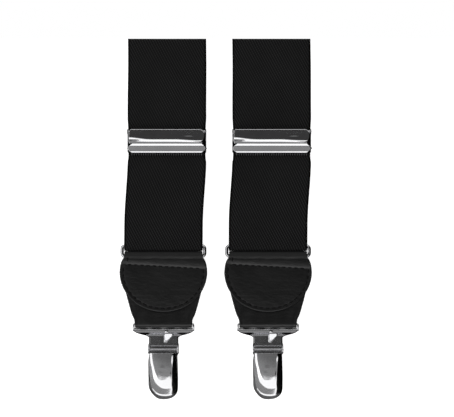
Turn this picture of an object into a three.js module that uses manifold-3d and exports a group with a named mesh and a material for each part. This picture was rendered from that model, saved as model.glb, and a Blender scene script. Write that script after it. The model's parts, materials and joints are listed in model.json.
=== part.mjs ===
// Y-back clip suspenders (gentlemen's braces), laid out flat at full length.
//
// Units are millimetres. +X is to the right, +Y runs from the front clips to the back clip and +Z is the
// outer face of the straps. The set lies on the plane z = 0 with its origin in the middle of its length.
// Most places along the set are given as a height above the tip of the nearest clip.

import * as THREE from 'three';
import { mergeVertices } from 'three/addons/utils/BufferGeometryUtils.js';
import Module from 'manifold-3d';

const wasm = await Module();
wasm.setup();

// ---------------------------------------------------------------- driving dimensions

const totalLength = 1067; // clip tip to clip tip, a 42 inch set
const strapPitch = 50.6; // between the centre lines of the two front straps
const lean = 1.7; // each front end lies this far to the left of its strap
const clearance = 0.3; // between pieces that touch

// webbing
const webbingWidth = 38; // one and a half inches
const webbingThickness = 1.3;

// adjuster, on the webbing
const adjusterHeight = 124.5; // its middle, above the clip's tip
const adjusterLength = 13;
const adjusterWidth = 39;
const cheekThickness = 0.5;
const adjusterPinRadius = 0.6;
const backBarRadius = 0.6;

// wire ring between webbing and leather
const wireRadius = 0.8;
const wireRoom = 0.35; // between the wire and what goes round it
const ringHeight = 72; // its middle, above the clip's tip
const ringBarPitch = 4.8; // between its two long bars
const ringAxisZ = 2.65;

// leather tab
const tabWidth = 42.4; // at its widest
const tabWidestHeight = 61.9;
const tabFoldWidth = 37.8; // where it passes through the ring
const tabEndWidth = 27.7; // where it passes through the clip
const outerLeather = 1.1; // thickness of the piece on the ring
const innerLeather = 0.9; // thickness of the piece on the clip
const flapLength = 19.3; // from the widest place to the round end of the flap

// clip
const loopWidth = 29.6;
const neckWidth = 14.2;
const leverWidth = 14.5;
const sheetThickness = 1;
const clipPinRadius = 0.7;
const clipPinHeight = 24.4; // above the clip's tip
const clipPinZ = 4.5;
const loopBarHeight = 36.75; // the bar that the leather goes round
const loopBarHalf = 0.6; // half its length in section, along Y
const tabTurnRadius = 1.05; // inside the leather's fold round that bar

// Y patch
const patchBottom = 712;
const patchTop = 797;
const patchLeather = 1.1;

// the straps' course towards the patch
const landing = 175; // here each strap has come down from its adjuster to the floor
const loopSpread = 84; // between here and the ring, the loop's two layers run level
const bendStart = 640;
const bendRadius = 500;
const bendAngle = THREE.MathUtils.degToRad(14.5);
const patchRampStart = 655;
const patchRampEnd = 700;
const backStrapEnd = 295.5; // from the back clip's tip, inside the patch
const backStrapTail = 104; // the sewn end of the back strap's loop

// ---------------------------------------------------------------- materials

const elastic = new THREE.MeshStandardMaterial({ color: 0x1a1a1b, roughness: 0.85, metalness: 0 });
const leather = new THREE.MeshStandardMaterial({ color: 0x1c1c1d, roughness: 0.5, metalness: 0 });
const chrome = new THREE.MeshStandardMaterial({ color: 0xcfd0d2, roughness: 0.12, metalness: 1 });
const steel = new THREE.MeshStandardMaterial({ color: 0xa8a9ab, roughness: 0.3, metalness: 1 });
const plastic = new THREE.MeshStandardMaterial({ color: 0x151515, roughness: 0.6, metalness: 0 });

// ---------------------------------------------------------------- helpers

function solidOf(geometry) {
  const bare = geometry.index ? geometry.toNonIndexed() : geometry.clone();
  bare.deleteAttribute('normal');
  bare.deleteAttribute('uv');
  const merged = mergeVertices(bare, 1e-4);
  return new wasm.Manifold(new wasm.Mesh({
    numProp: 3,
    vertProperties: new Float32Array(merged.attributes.position.array),
    triVerts: new Uint32Array(merged.index.array),
  }));
}

function geometryOf(solid) {
  const mesh = solid.getMesh();
  const geometry = new THREE.BufferGeometry();
  geometry.setAttribute('position', new THREE.BufferAttribute(mesh.vertProperties, 3));
  geometry.setIndex(new THREE.BufferAttribute(mesh.triVerts, 1));
  return geometry;
}

function joined(first, ...others) {
  return geometryOf(others.reduce((all, other) => all.add(solidOf(other)), solidOf(first)));
}

function without(first, ...others) {
  return geometryOf(others.reduce((rest, other) => rest.subtract(solidOf(other)), solidOf(first)));
}

function common(first, second) {
  return geometryOf(solidOf(first).intersect(solidOf(second)));
}

function piece(name, geometry, material) {
  const mesh = new THREE.Mesh(geometry, material);
  mesh.name = name;
  return mesh;
}

// A side view, drawn as (y, z), made as wide as halfWidth to each side of x = 0.
function acrossX(sideView, halfWidth, middle = 0) {
  const geometry = new THREE.ExtrudeGeometry(sideView, {
    depth: 2 * halfWidth, bevelEnabled: false, curveSegments: 6,
  });
  const turn = new THREE.Matrix4().makeBasis(
    new THREE.Vector3(0, 1, 0), new THREE.Vector3(0, 0, 1), new THREE.Vector3(1, 0, 0));
  return geometry.applyMatrix4(turn).translate(middle - halfWidth, 0, 0);
}

// A plan, drawn as (x, y), standing from z = low to z = high.
function upright(plan, low, high) {
  const geometry = new THREE.ExtrudeGeometry(plan, {
    depth: high - low, bevelEnabled: false, curveSegments: 6,
  });
  return geometry.translate(0, 0, low);
}

function box(xRange, yRange, zRange) {
  const [width, length, height] = [xRange, yRange, zRange].map(([low, high]) => high - low);
  const middles = [xRange, yRange, zRange].map(([low, high]) => (low + high) / 2);
  return new THREE.BoxGeometry(width, length, height).translate(...middles);
}

function rodAlongX(radius, length, y, z, sides = 14) {
  return new THREE.CylinderGeometry(radius, radius, length, sides)
    .rotateZ(Math.PI / 2).translate(0, y, z);
}

function circlePath(x, y, radius) {
  return new THREE.Path().absarc(x, y, radius, 0, 2 * Math.PI, false);
}

// A plan that is the same on both sides of x = 0, from its right-hand edge, which is drawn upwards.
function mirroredPlan(rightEdge) {
  const leftEdge = rightEdge.map((p) => new THREE.Vector2(-p.x, p.y)).reverse();
  return new THREE.Shape(withoutDoubles([...rightEdge, ...leftEdge]));
}

function withoutDoubles(points) {
  const kept = points.filter((p, i) => i === 0 || p.distanceTo(points[i - 1]) > 1e-3);
  return kept[0].distanceTo(kept.at(-1)) > 1e-3 ? kept : kept.slice(0, -1);
}

// The outline of a sheet of that thickness, whose middle follows a line of points.
function sheetOutline(line, thickness) {
  const half = thickness / 2;
  const sides = line.map((point, i) => {
    const before = line[Math.max(i - 1, 0)];
    const after = line[Math.min(i + 1, line.length - 1)];
    const along = after.clone().sub(before).normalize();
    const square = new THREE.Vector2(-along.y, along.x).multiplyScalar(half);
    return [point.clone().add(square), point.clone().sub(square)];
  });
  return new THREE.Shape([...sides.map((s) => s[0]), ...sides.map((s) => s[1]).reverse()]);
}

function arc(y, z, radius, fromDegrees, toDegrees, steps) {
  return Array.from({ length: steps + 1 }, (_, i) => {
    const angle = THREE.MathUtils.degToRad(THREE.MathUtils.lerp(fromDegrees, toDegrees, i / steps));
    return new THREE.Vector2(y + radius * Math.cos(angle), z + radius * Math.sin(angle));
  });
}

// A gentle step from one height to another.
function ramp(fromY, fromZ, toY, toZ, steps = 8) {
  return Array.from({ length: steps + 1 }, (_, i) => {
    const share = i / steps;
    return new THREE.Vector2(
      THREE.MathUtils.lerp(fromY, toY, share),
      THREE.MathUtils.lerp(fromZ, toZ, THREE.MathUtils.smoothstep(share, 0, 1)));
  });
}

function moveEachPoint(geometry, place) {
  const position = geometry.attributes.position;
  const point = new THREE.Vector3();
  for (let i = 0; i < position.count; i += 1) {
    place(point.fromBufferAttribute(position, i));
    position.setXYZ(i, point.x, point.y, point.z);
  }
  return geometry;
}

// ---------------------------------------------------------------- webbing

const floorLayer = webbingThickness / 2; // middle of a layer that lies on the floor
const webbingTurn = wireRadius + wireRoom + webbingThickness / 2; // radius of its middle round the ring
const frontLayerAtRing = ringAxisZ + webbingTurn;
const frontLayerInAdjuster = 5.35;
const upperBar = ringHeight + ringBarPitch / 2;
const lowerBar = ringHeight - ringBarPitch / 2;
const backBarY = 3.5; // from the adjuster's middle
const backBarZ = webbingThickness + backBarRadius + clearance;
const patchLayer = patchLeather + clearance + webbingThickness / 2;
const patchFace = patchLayer + webbingThickness / 2 + clearance; // underside of its front leather

// Carries a straight strap, made along Y at x = 0, onto its course: straight up to bendStart, and then
// round an arc towards the middle. side is -1 for the left strap and 1 for the right one.
function alongCourse(geometry, side) {
  return moveEachPoint(geometry, (p) => {
    const turned = Math.max(0, p.y - bendStart) / bendRadius;
    const across = p.x;
    if (turned > 0) {
      p.x = -side * bendRadius * (1 - Math.cos(turned)) + across * Math.cos(turned);
      p.y = bendStart + bendRadius * Math.sin(turned) + side * across * Math.sin(turned);
    }
    p.x += side * strapPitch / 2;
  });
}

function frontStrap(side) {
  const end = bendStart + bendRadius * bendAngle;
  const bend = Array.from({ length: 8 }, (_, i) => new THREE.Vector2(
    THREE.MathUtils.lerp(patchRampEnd, end, (i + 1) / 8), patchLayer));
  const line = [
    new THREE.Vector2(adjusterHeight + clearance / 2, frontLayerInAdjuster),
    ...ramp(adjusterHeight + adjusterLength / 2 + 2, frontLayerInAdjuster, landing, floorLayer),
    new THREE.Vector2(bendStart, floorLayer),
    ...ramp(patchRampStart, floorLayer, patchRampEnd, patchLayer, 5),
    ...bend,
  ];
  const strap = alongCourse(acrossX(sheetOutline(line, webbingThickness), webbingWidth / 2), side);
  const otherSide = side > 0 ? [-60, clearance / 2] : [-clearance / 2, 60];
  return without(strap, box(otherSide, [bendStart, totalLength], [-1, 10]));
}

// The doubled end of the webbing: down the front, round the ring, up the back and round the adjuster's bar.
function strapLoop() {
  const barY = adjusterHeight + backBarY;
  const turnAtBar = backBarRadius + clearance + webbingThickness / 2;
  const line = [
    new THREE.Vector2(adjusterHeight - clearance / 2, frontLayerInAdjuster),
    ...ramp(adjusterHeight - adjusterLength / 2, frontLayerInAdjuster, loopSpread, frontLayerAtRing, 6),
    ...arc(upperBar, ringAxisZ, webbingTurn, 90, 270, 8),
    ...ramp(loopSpread, floorLayer, adjusterHeight - adjusterLength / 2, floorLayer, 6),
    ...arc(barY, backBarZ, turnAtBar, -90, 150, 8),
  ];
  const straight = acrossX(sheetOutline(line, webbingThickness), webbingWidth / 2);
  return moveEachPoint(straight, (p) => {
    p.x -= lean * THREE.MathUtils.smoothstep(adjusterHeight - 8 - p.y, 0, 32);
  });
}

// The single strap of the back, drawn from the back clip's tip: round the ring, and sewn to itself.
function backStrap() {
  const overTail = webbingThickness + floorLayer + clearance + 0.15;
  const line = [
    new THREE.Vector2(backStrapTail, floorLayer),
    ...arc(upperBar, ringAxisZ, webbingTurn, -90, -270, 8),
    ...ramp(loopSpread, frontLayerAtRing, backStrapTail - 6, overTail, 4),
    ...ramp(backStrapTail + 2, overTail, backStrapTail + 20, floorLayer, 4),
    ...ramp(totalLength - patchTop - 32, floorLayer, totalLength - patchTop - 4, patchLayer, 4),
    new THREE.Vector2(backStrapEnd, patchLayer),
  ];
  return acrossX(sheetOutline(line, webbingThickness), webbingWidth / 2);
}

// ---------------------------------------------------------------- adjuster

const platePinY = 5.3;
const platePinZ = 7.45;
const plateNose = 1.15; // radius of the curl round the pin
const plateLowEdge = -5.4;
const basePlateThickness = 0.7;
const pinRoom = 0.2; // between each pin and its hole
const toothCount = 12;
const toothSpan = 17;
const plateUnderside = frontLayerInAdjuster + webbingThickness / 2 + clearance;

function adjusterFrame() {
  const top = plateUnderside - clearance;
  const bottom = webbingThickness;
  const lowEnd = plateLowEdge + 0.2;
  const nose = platePinY + plateNose;
  const cheek = new THREE.Shape();
  cheek.moveTo(lowEnd, top);
  cheek.lineTo(lowEnd, bottom + 1.7);
  cheek.quadraticCurveTo(lowEnd, bottom, lowEnd + 1.8, bottom);
  cheek.lineTo(platePinY - 0.3, bottom);
  cheek.quadraticCurveTo(nose, bottom, nose, bottom + 1.5);
  cheek.lineTo(nose, platePinZ);
  cheek.absarc(platePinY, platePinZ, plateNose, 0, Math.PI, false);
  cheek.lineTo(platePinY - plateNose, top);
  cheek.holes.push(circlePath(platePinY, platePinZ, adjusterPinRadius + pinRoom));
  const cheekMiddle = webbingWidth / 2 + clearance + cheekThickness / 2;
  const baseTop = frontLayerInAdjuster - webbingThickness / 2 - clearance;
  return joined(
    acrossX(cheek, cheekThickness / 2, -cheekMiddle),
    acrossX(cheek, cheekThickness / 2, cheekMiddle),
    box([-cheekMiddle, cheekMiddle], [lowEnd, 0.8], [baseTop - basePlateThickness, baseTop]),
    rodAlongX(backBarRadius, 2 * cheekMiddle, backBarY, backBarZ),
  );
}

// The plate is drawn from the side: an upper ridge round its pin, a groove, and a lower ridge.
function adjusterPlate() {
  const side = new THREE.Shape();
  side.moveTo(plateLowEdge, plateUnderside);
  side.lineTo(platePinY, plateUnderside);
  side.absarc(platePinY, platePinZ, plateNose, -Math.PI / 2, Math.PI / 2, false);
  side.lineTo(1.6, 8.85);
  side.lineTo(0.3, 8.05);
  side.lineTo(-0.6, 8);
  side.quadraticCurveTo(-1.6, 8.6, -2.4, 8.45);
  side.lineTo(-4.3, 8.1);
  side.quadraticCurveTo(plateLowEdge + 0.2, 7.7, plateLowEdge, 7);
  side.holes.push(circlePath(platePinY, platePinZ, adjusterPinRadius + pinRoom));
  const plate = acrossX(side, adjusterWidth / 2);
  const earRoom = webbingWidth / 2;
  const notches = [[-30, -earRoom], [earRoom, 30]].map(
    (range) => box(range, [platePinY - plateNose - clearance, 10], [0, 12]));
  const teeth = Array.from({ length: toothCount }, (_, i) => {
    const across = THREE.MathUtils.lerp(-toothSpan, toothSpan, i / (toothCount - 1));
    return new THREE.ConeGeometry(0.42, 1.2, 4).rotateX(Math.PI)
      .translate(across, plateLowEdge - 0.2, plateUnderside + 0.45);
  });
  return joined(without(plate, ...notches), ...teeth);
}

function adjuster(side) {
  const group = new THREE.Group();
  const pinLength = webbingWidth + 2 * clearance + 2 * cheekThickness;
  group.add(
    piece(`${side}_adjuster_frame`, adjusterFrame(), steel),
    piece(`${side}_adjuster_plate`, adjusterPlate(), chrome),
    piece(`${side}_adjuster_pin`, rodAlongX(adjusterPinRadius, pinLength, platePinY, platePinZ), steel),
  );
  return group;
}

// ---------------------------------------------------------------- ring and leather tab

function roundedOblong(halfWidth, halfHeight, radius, middleY) {
  const oblong = new THREE.Shape();
  const [x, y] = [halfWidth - radius, halfHeight - radius];
  oblong.absarc(x, middleY + y, radius, 0, Math.PI / 2, false);
  oblong.absarc(-x, middleY + y, radius, Math.PI / 2, Math.PI, false);
  oblong.absarc(-x, middleY - y, radius, Math.PI, 1.5 * Math.PI, false);
  oblong.absarc(x, middleY - y, radius, 1.5 * Math.PI, 2 * Math.PI, false);
  return oblong;
}

function wireRing() {
  const inside = webbingWidth / 2 + clearance;
  const rounding = 0.6 * wireRadius;
  const plan = roundedOblong(inside + 2 * wireRadius, ringBarPitch / 2 + wireRadius, 2, ringHeight);
  plan.holes.push(roundedOblong(inside, ringBarPitch / 2 - wireRadius, 0.4, ringHeight));
  return new THREE.ExtrudeGeometry(plan, {
    depth: 2 * (wireRadius - rounding),
    bevelThickness: rounding,
    bevelSize: rounding,
    bevelOffset: -rounding,
    bevelSegments: 2,
    curveSegments: 3,
  }).translate(0, 0, ringAxisZ - wireRadius + rounding);
}

// The leather on the ring: a round flap in front, a fold over the ring's lower bar, and the same flap behind.
function outerTab() {
  const turn = wireRadius + wireRoom + outerLeather / 2;
  const end = tabWidestHeight - flapLength - 1;
  const side = sheetOutline([
    new THREE.Vector2(end, ringAxisZ + turn),
    ...arc(lowerBar, ringAxisZ, turn, 90, -90, 8),
    new THREE.Vector2(end, ringAxisZ - turn),
  ], outerLeather);
  const halfFold = tabFoldWidth / 2;
  const flap = new THREE.EllipseCurve(
    0, tabWidestHeight, tabWidth / 2, flapLength, -Math.PI / 2, 0, false).getPoints(12);
  const shoulder = new THREE.CubicBezierCurve(
    new THREE.Vector2(tabWidth / 2, tabWidestHeight),
    new THREE.Vector2(tabWidth / 2, tabWidestHeight + 2.6),
    new THREE.Vector2(halfFold + 1.3, lowerBar - 2.2),
    new THREE.Vector2(halfFold, lowerBar - 1.4)).getPoints(6);
  const plan = mirroredPlan([...flap, ...shoulder, new THREE.Vector2(halfFold, lowerBar + 4)]);
  return common(acrossX(side, tabWidth), upright(plan, -1, 8));
}

// The leather on the clip: its two layers lie between the flaps, and its fold holds the clip's bar.
function innerTab() {
  const turn = tabTurnRadius + innerLeather / 2;
  const apart = (innerLeather + clearance) / 2;
  const top = lowerBar - 3.4;
  const front = [
    new THREE.Vector2(top, ringAxisZ + apart),
    ...ramp(43, ringAxisZ + apart, loopBarHeight + 1.2, ringAxisZ + turn - 0.08, 5),
  ];
  const back = front.map((p) => new THREE.Vector2(p.x, 2 * ringAxisZ - p.y)).reverse();
  const side = sheetOutline(
    [...front, ...arc(loopBarHeight, ringAxisZ, turn, 90, 270, 8), ...back], innerLeather);
  const edge = new THREE.SplineCurve([
    new THREE.Vector2(tabEndWidth / 2, loopBarHeight - 3),
    new THREE.Vector2(tabEndWidth / 2 + 0.1, loopBarHeight + 1.5),
    new THREE.Vector2(tabEndWidth / 2 + 1.4, 41.5),
    new THREE.Vector2(tabEndWidth / 2 + 3.8, 50),
    new THREE.Vector2(tabEndWidth / 2 + 5, 55),
    new THREE.Vector2(tabEndWidth / 2 + 4.4, top + 1),
  ]).getPoints(10);
  return common(acrossX(side, tabWidth), upright(mirroredPlan(edge), -1, 8));
}

// ---------------------------------------------------------------- clip

const earInside = 6.9;
const earThickness = 0.5;
const knuckleRadius = 1.9;

// The body steps down from the loop's plate to the neck, and lies on the floor under the lever.
function clipBody() {
  const onFloor = sheetThickness / 2;
  const line = [
    new THREE.Vector2(loopBarHeight + loopBarHalf, ringAxisZ),
    new THREE.Vector2(loopBarHeight - 2.35, ringAxisZ),
    new THREE.Vector2(32.55, ringAxisZ - 0.35),
    new THREE.Vector2(31.45, 0.95),
    new THREE.Vector2(30.9, 0.9),
    new THREE.Vector2(26.4, 1.25),
    new THREE.Vector2(22.5, onFloor),
    new THREE.Vector2(1.2, onFloor),
  ];
  const side = acrossX(sheetOutline(line, sheetThickness), loopWidth);
  const loop = loopWidth / 2;
  const neck = neckWidth / 2;
  const ear = earInside + earThickness;
  const jaw = 6.6;
  const edge = new THREE.Path();
  edge.moveTo(0, 1.2);
  edge.quadraticCurveTo(jaw, 1.4, jaw, 7);
  edge.lineTo(jaw, 21.4);
  edge.lineTo(ear, 22.2);
  edge.lineTo(ear, 26.8);
  edge.lineTo(neck, 27.4);
  edge.lineTo(neck, 29.8);
  edge.quadraticCurveTo(neck + 0.2, 31, neck + 1.6, 31.1);
  edge.lineTo(loop - 2.4, 31.9);
  edge.quadraticCurveTo(loop, 32.6, loop, 34.4);
  edge.lineTo(loop, loopBarHeight + 1);
  const plan = mirroredPlan(edge.getPoints(6));
  const slot = box(
    [-(tabEndWidth / 2 + 0.35), tabEndWidth / 2 + 0.35],
    [loopBarHeight - 2.35, loopBarHeight - loopBarHalf], [0, 6]);
  const flange = new THREE.Shape();
  flange.moveTo(clipPinHeight - 2.1, 0.5);
  flange.lineTo(clipPinHeight + 2.4, 0.5);
  flange.lineTo(clipPinHeight + 1.8, clipPinZ);
  flange.absarc(clipPinHeight, clipPinZ, 1.8, 0, Math.PI, false);
  flange.lineTo(clipPinHeight - 2.1, 2.5);
  flange.holes.push(circlePath(clipPinHeight, clipPinZ, clipPinRadius + pinRoom));
  const flangeMiddle = earInside + earThickness / 2;
  return joined(
    without(common(side, upright(plan, -1, 8)), slot),
    acrossX(flange, earThickness / 2, -flangeMiddle),
    acrossX(flange, earThickness / 2, flangeMiddle),
  );
}

function leverPlan(inset) {
  const half = leverWidth / 2 - inset;
  const edge = new THREE.Path();
  edge.moveTo(0, inset);
  edge.quadraticCurveTo(half - 0.8, inset + 0.1, half, 8);
  edge.lineTo(half, 21.8 - inset);
  return mirroredPlan(edge.getPoints(7));
}

// The lever: a domed shell over the jaw, and a knuckle round the pin.
function clipLever() {
  const rim = 3.2;
  const wall = 0.9;
  const tip = -0.2; // a little past the plan, which cuts it round
  const crown = new THREE.SplineCurve([
    new THREE.Vector2(22.8, 6.9),
    new THREE.Vector2(18, 7),
    new THREE.Vector2(10.4, 6.65),
    new THREE.Vector2(6.3, 5.5),
    new THREE.Vector2(2.9, 4.85),
    new THREE.Vector2(1.1, 4.2),
    new THREE.Vector2(tip, 3.6),
  ]).getPoints(12);
  const side = new THREE.Shape([
    ...crown, new THREE.Vector2(tip, rim), new THREE.Vector2(clipPinHeight - 1.4, rim)]);
  const blade = common(acrossX(side, leverWidth), upright(leverPlan(0), 0, 8));
  const reach = earInside - clearance;
  const root = common(acrossX(side, reach), box([-10, 10], [21.3, 22.8], [0, 8]));
  const shoulder = box([-reach, reach], [22.5, 22.9], [clipPinZ, 6.9]);
  const hollow = common(
    acrossX(new THREE.Shape(crown.map((p) => new THREE.Vector2(p.x, p.y - wall))
      .concat([new THREE.Vector2(tip, 0), new THREE.Vector2(22.8, 0)])), leverWidth),
    upright(leverPlan(wall), 0, 8));
  const knuckle = rodAlongX(knuckleRadius, 2 * reach, clipPinHeight, clipPinZ, 20);
  const pinHole = rodAlongX(clipPinRadius + pinRoom, 2 * leverWidth, clipPinHeight, clipPinZ);
  return without(joined(blade, root, shoulder, knuckle), hollow, pinHole);
}

function jawPlan(half, low, high) {
  const edge = new THREE.Path();
  edge.moveTo(0, low);
  edge.quadraticCurveTo(half, low + 0.2, half, low + 4.5);
  edge.lineTo(half, high);
  return mirroredPlan(edge.getPoints(6));
}

// A grip pad with ribs across it, drawn with its ribs up.
function ribbedPad(half, low, high, thickness, ribs) {
  const side = new THREE.Shape();
  side.moveTo(low, 0);
  side.lineTo(high, 0);
  side.lineTo(high, thickness * 0.55);
  for (let i = ribs; i > 0; i -= 1) {
    const pitch = (high - low) / ribs;
    side.lineTo(low + pitch * (i - 0.5), thickness);
    side.lineTo(low + pitch * (i - 1), thickness * 0.55);
  }
  return acrossX(side, half);
}

function clip(side) {
  const pads = { half: 5.6, low: 3.4, high: 11.4, ribs: 6 };
  const backPad = ribbedPad(pads.half, pads.low, pads.high, 0.6, pads.ribs)
    .translate(0, 0, sheetThickness + clearance);
  const jawPad = ribbedPad(pads.half, pads.low, pads.high, 0.35, pads.ribs)
    .scale(1, -1, -1).translate(0, pads.low + pads.high, 2.6);
  const pinLength = 2 * (earInside + earThickness);
  return [
    piece(`${side}_clip_body`, clipBody(), chrome),
    piece(`${side}_clip_pin`, rodAlongX(clipPinRadius, pinLength, clipPinHeight, clipPinZ), steel),
    piece(`${side}_clip_lever`, clipLever(), chrome),
    piece(`${side}_clip_jaw`, upright(jawPlan(6, 2.3, 20.5), 2.9, 3.6), steel),
    piece(`${side}_clip_jaw_pad`, jawPad, plastic),
    piece(`${side}_clip_back_pad`, backPad, plastic),
  ];
}

// One complete end: ring, leather tab and clip, with the clip's tip at y = 0.
function endUnit(side) {
  const group = new THREE.Group();
  group.add(
    piece(`${side}_ring`, wireRing(), chrome),
    piece(`${side}_tab_outer_leather`, outerTab(), leather),
    piece(`${side}_tab_inner_leather`, innerTab(), leather),
    ...clip(side),
  );
  return group;
}

// ---------------------------------------------------------------- Y patch

function patchPlan() {
  const edge = new THREE.Path();
  edge.moveTo(0, patchBottom + 8);
  edge.quadraticCurveTo(20, patchBottom + 6, 34, patchBottom + 0.4);
  edge.quadraticCurveTo(41, patchBottom - 1.5, 41.5, patchBottom + 6);
  edge.quadraticCurveTo(38, patchBottom + 40, 24.5, patchTop - 22);
  edge.lineTo(22.5, patchTop - 4);
  edge.quadraticCurveTo(22, patchTop, 18, patchTop);
  return mirroredPlan(edge.getPoints(8));
}

// ---------------------------------------------------------------- the whole set

const suspenders = new THREE.Group();
suspenders.position.y = -totalLength / 2;

const webbing = new THREE.Group();
webbing.position.x = lean;
webbing.add(
  piece('left_strap', frontStrap(-1), elastic),
  piece('right_strap', frontStrap(1), elastic),
  piece('patch_back_leather', upright(patchPlan(), 0, patchLeather), leather),
  piece('patch_front_leather', upright(patchPlan(), patchFace, patchFace + patchLeather), leather),
);
suspenders.add(webbing);

for (const [side, direction] of [['left', -1], ['right', 1]]) {
  const strapX = direction * strapPitch / 2;
  const loop = piece(`${side}_strap_loop`, strapLoop(), elastic);
  loop.position.x = strapX;
  const lock = adjuster(side);
  lock.position.set(strapX, adjusterHeight, 0);
  webbing.add(loop, lock);
  const end = endUnit(side);
  end.position.x = strapX;
  suspenders.add(end);
}

const back = new THREE.Group();
back.position.set(lean, totalLength, 0);
back.rotation.z = Math.PI;
back.add(piece('back_strap', backStrap(), elastic), endUnit('back'));
suspenders.add(back);

export default suspenders;
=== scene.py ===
"""Looks of the Y-back clip suspenders, built round the CAD frame.

Everything is made in millimetres and stored in metres. An end unit (ring, leather tab and clip) is drawn once, with
the clip's tip at (0, 0), +Y up the strap and +Z out of the strap's face, and is then placed at all three ends.
"""

import json
import math

import bmesh
import bpy
import numpy as np
from mathutils import Matrix, Vector


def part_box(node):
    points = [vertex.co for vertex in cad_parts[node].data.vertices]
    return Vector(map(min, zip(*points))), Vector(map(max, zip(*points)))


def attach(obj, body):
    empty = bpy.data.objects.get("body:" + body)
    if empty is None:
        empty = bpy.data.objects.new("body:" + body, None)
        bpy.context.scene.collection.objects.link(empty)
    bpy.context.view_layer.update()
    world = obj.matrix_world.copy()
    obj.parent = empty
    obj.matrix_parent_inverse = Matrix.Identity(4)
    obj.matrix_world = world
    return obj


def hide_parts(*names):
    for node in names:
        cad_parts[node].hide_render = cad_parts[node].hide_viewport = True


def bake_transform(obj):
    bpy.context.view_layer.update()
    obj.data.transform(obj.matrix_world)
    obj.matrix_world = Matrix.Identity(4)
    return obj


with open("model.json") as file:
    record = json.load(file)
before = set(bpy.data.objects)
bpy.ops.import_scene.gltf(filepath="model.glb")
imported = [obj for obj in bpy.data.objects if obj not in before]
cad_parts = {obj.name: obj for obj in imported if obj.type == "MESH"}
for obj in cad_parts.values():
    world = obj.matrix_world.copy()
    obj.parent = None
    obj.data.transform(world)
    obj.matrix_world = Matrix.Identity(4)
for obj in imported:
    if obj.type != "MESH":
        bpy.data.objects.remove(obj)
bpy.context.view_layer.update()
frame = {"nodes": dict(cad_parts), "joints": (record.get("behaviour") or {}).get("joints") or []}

MM = 0.001
JOINTS = {joint["name"]: joint for joint in frame["joints"]}
FRONT_SIDES = ("left", "right")
SIDES = ("left", "right", "back")


# ---------------------------------------------------------------- places, from the frame

def pivot(joint):
    return Vector(JOINTS[joint]["pos_m"])


def tip(side):
    """Where the tip of that side's clip is, on the floor."""
    low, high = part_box(f"{side}_clip_lever")
    return Vector((pivot(f"{side}_lever_open").x, high.y if side == "back" else low.y, 0))


def height(joint):
    """How far that joint of the left end is above the clip's tip, in mm."""
    return (pivot(f"left_{joint}").y - tip("left").y) / MM


def end_matrix(side):
    turn = Matrix.Rotation(math.pi, 4, "Z") if side == "back" else Matrix.Identity(4)
    return Matrix.Translation(tip(side)) @ turn


UPPER_BAR = height("ring_swing")
LOWER_BAR = height("tab_swing")
CLIP_BAR = height("clip_swing")
CLIP_PIN = height("lever_open")
PLATE_PIN = height("adjuster_flip")
RING_Z = pivot("left_ring_swing").z / MM
CLIP_PIN_Z = pivot("left_lever_open").z / MM
PLATE_PIN_Z = pivot("left_adjuster_flip").z / MM
STRAP_X = {side: pivot(f"{side}_adjuster_flip").x for side in FRONT_SIDES}
LEAN = (STRAP_X["left"] - tip("left").x) / MM
TOTAL = (tip("back").y - tip("left").y) / MM
PLATE_HINGE = 5.3  # from the adjuster's middle up to its hinge pin
ADJUSTER = PLATE_PIN - PLATE_HINGE
ADJUSTER_HALF = 6.5
BACK_BAR = (3.5, 2.2)  # the bar behind the webbing: y from the adjuster's middle, and z

WEBBING_WIDTH = 38.0
WEBBING_THICKNESS = 1.3
SELVEDGE = 0.45
WIRE_RADIUS = 0.8
OUTER_LEATHER = 1.1
INNER_LEATHER = 0.9
TURN = WIRE_RADIUS + 0.35  # inside radius of what goes round the ring

# heights of the webbing's middle
FLOOR_LAYER = WEBBING_THICKNESS / 2
RING_LAYER = RING_Z + TURN + FLOOR_LAYER
ADJUSTER_LAYER = 5.35
PATCH_LAYER = 2.05

# the course of a front strap and of the loop below its adjuster
LOOP_SPREAD = 84  # here both layers have left the ring's turn
LANDING = 175  # here the strap is on the floor
BEND_START = 640.0
BEND_RADIUS = 500.0
BEND_END = BEND_START + BEND_RADIUS * math.radians(14.5)
PATCH_RAMP_END = 700
PATCH_LOW, PATCH_HIGH = 712.0, 797.0


def link(name, data):
    """A new object in the scene, with that data."""
    obj = bpy.data.objects.new(name, data)
    bpy.context.scene.collection.objects.link(obj)
    return obj


# ---------------------------------------------------------------- camera, floor and light

def look_from_above():
    """Straight down on the lower ends of the front straps, through a long lens."""
    lens, sensor, seen_width = 150.0, 36.0, 0.2195
    focus = Vector((0.00545, tip("left").y + 0.0926, 0.004))
    data = bpy.data.cameras.new("camera")
    data.lens = lens
    data.sensor_width = sensor
    data.clip_start = 0.001
    data.clip_end = 20
    camera = link("camera", data)
    camera.location = focus + Vector((0, 0, seen_width * lens / sensor))
    bpy.context.scene.camera = camera
    return camera


def add_stage_object(name, corners, material):
    mesh = bpy.data.meshes.new(name)
    mesh.from_pydata(corners, [], [(0, 1, 2, 3)])
    mesh.materials.append(material)
    obj = link(name, mesh)
    return obj


def crop_card(camera, material):
    """A white card just in front of the lens. It hides the straps above the height at which they are cropped."""
    distance, beyond, side = 0.006, 0.0018, 0.0012
    crop_point = Vector((0, tip("left").y + 0.1749, WEBBING_THICKNESS * MM))
    to_crop = crop_point - camera.location
    x, y, z = camera.location - Vector((0, 0, distance))
    low, high = y + to_crop.y * distance / -to_crop.z, y + beyond
    corners = [(x - side, low, z), (x + side, low, z), (x + side, high, z), (x - side, high, z)]
    add_stage_object("crop_card", corners, material)


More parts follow.
